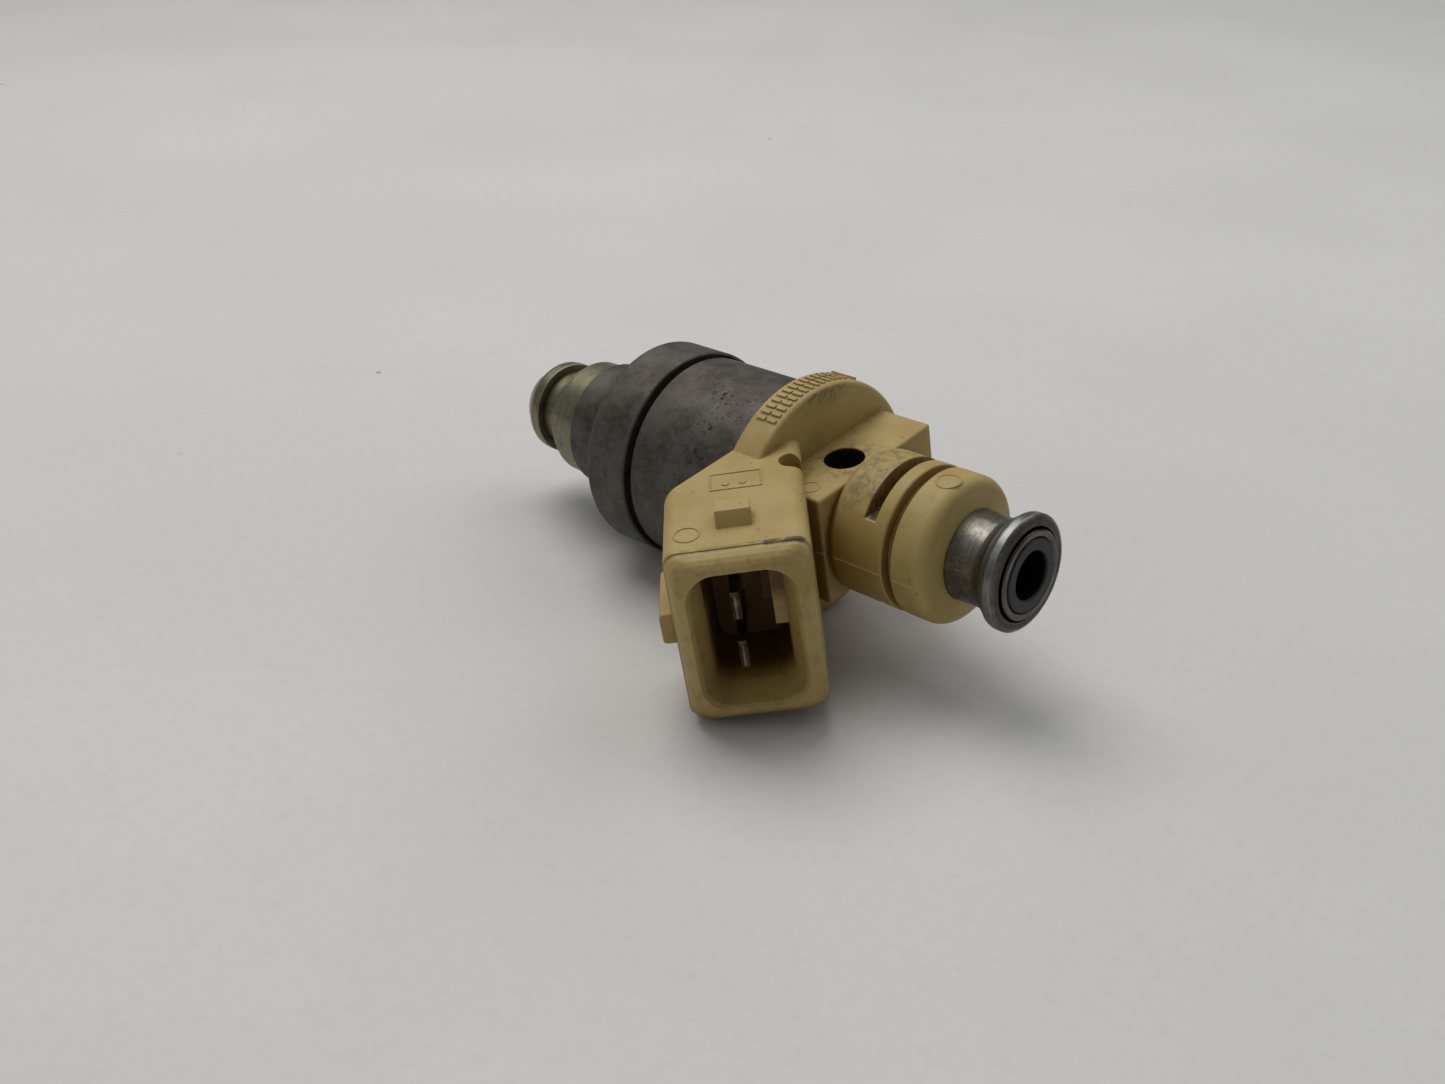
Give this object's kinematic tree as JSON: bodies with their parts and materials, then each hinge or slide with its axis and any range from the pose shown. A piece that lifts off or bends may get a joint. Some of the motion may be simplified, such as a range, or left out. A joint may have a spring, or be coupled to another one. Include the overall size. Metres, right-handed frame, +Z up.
{
  "type": "fuel injector",
  "caption": "Top-feed solenoid fuel injector: moulded plastic body with an angled two-blade socket, steel coil can, flanged inlet tube and plated nozzle; the needle slides on a return spring.",
  "frame": {"origin": "on the injector's axis at the widest plane of the inlet flange (mount inlet_spigot)", "axes": "+Z is up with the injector lying at rest on a floor; +X is the level direction of the injector's axis towards its inlet, which stands 3.4 degrees above level; the electrical socket faces -Y"},
  "size_m": [0.0637, 0.0362, 0.024],
  "materials": {
    "moulded_plastic": "matte moulded, faint glass-fibre grain",
    "filter_plastic": "matte",
    "filter_screen": "woven",
    "worn_steel": "worn bare steel",
    "bright_steel": "ground",
    "can_steel": "dull grey, pitted",
    "zinc_plate": "yellow zinc plate",
    "magnet_iron": "turned",
    "copper": "enamelled wire",
    "bobbin_plastic": "matte",
    "tinned_brass": "tin plated",
    "sleeve_steel": "drawn",
    "spring_steel": "drawn wire",
    "hardened_steel": "ground",
    "seal_rubber": "satin"
  },
  "bodies": {
    "injector": {"plastic_overmould": "moulded_plastic", "terminal_upper": "tinned_brass", "terminal_lower": "tinned_brass", "inlet_tube": "worn_steel", "filter_ring": "bright_steel", "filter_basket": "filter_plastic", "filter_mesh": "filter_screen", "adjusting_sleeve": "spring_steel", "return_spring": "spring_steel", "can_housing": "can_steel", "flux_washer": "magnet_iron", "coil_bobbin": "bobbin_plastic", "coil_winding": "copper", "guide_sleeve": "sleeve_steel", "lower_plate": "magnet_iron", "housing_ring": "can_steel", "stop_plate": "hardened_steel", "valve_body": "zinc_plate", "body_seal": "seal_rubber", "nozzle_cap": "zinc_plate", "valve_seat": "hardened_steel", "orifice_disc": "bright_steel"},
    "needle": {"armature": "magnet_iron", "valve_needle": "hardened_steel", "valve_ball": "hardened_steel"}
  },
  "joints": [
    {"name": "needle_lift", "type": "slide", "parent": "injector", "child": "needle", "axis": [0.9982, 0, 0.0593], "range_m": [0, 0.00012], "stiffness_N_per_m": 1500, "springref_m": -0.002, "deforming": ["return_spring"]}
  ]
}
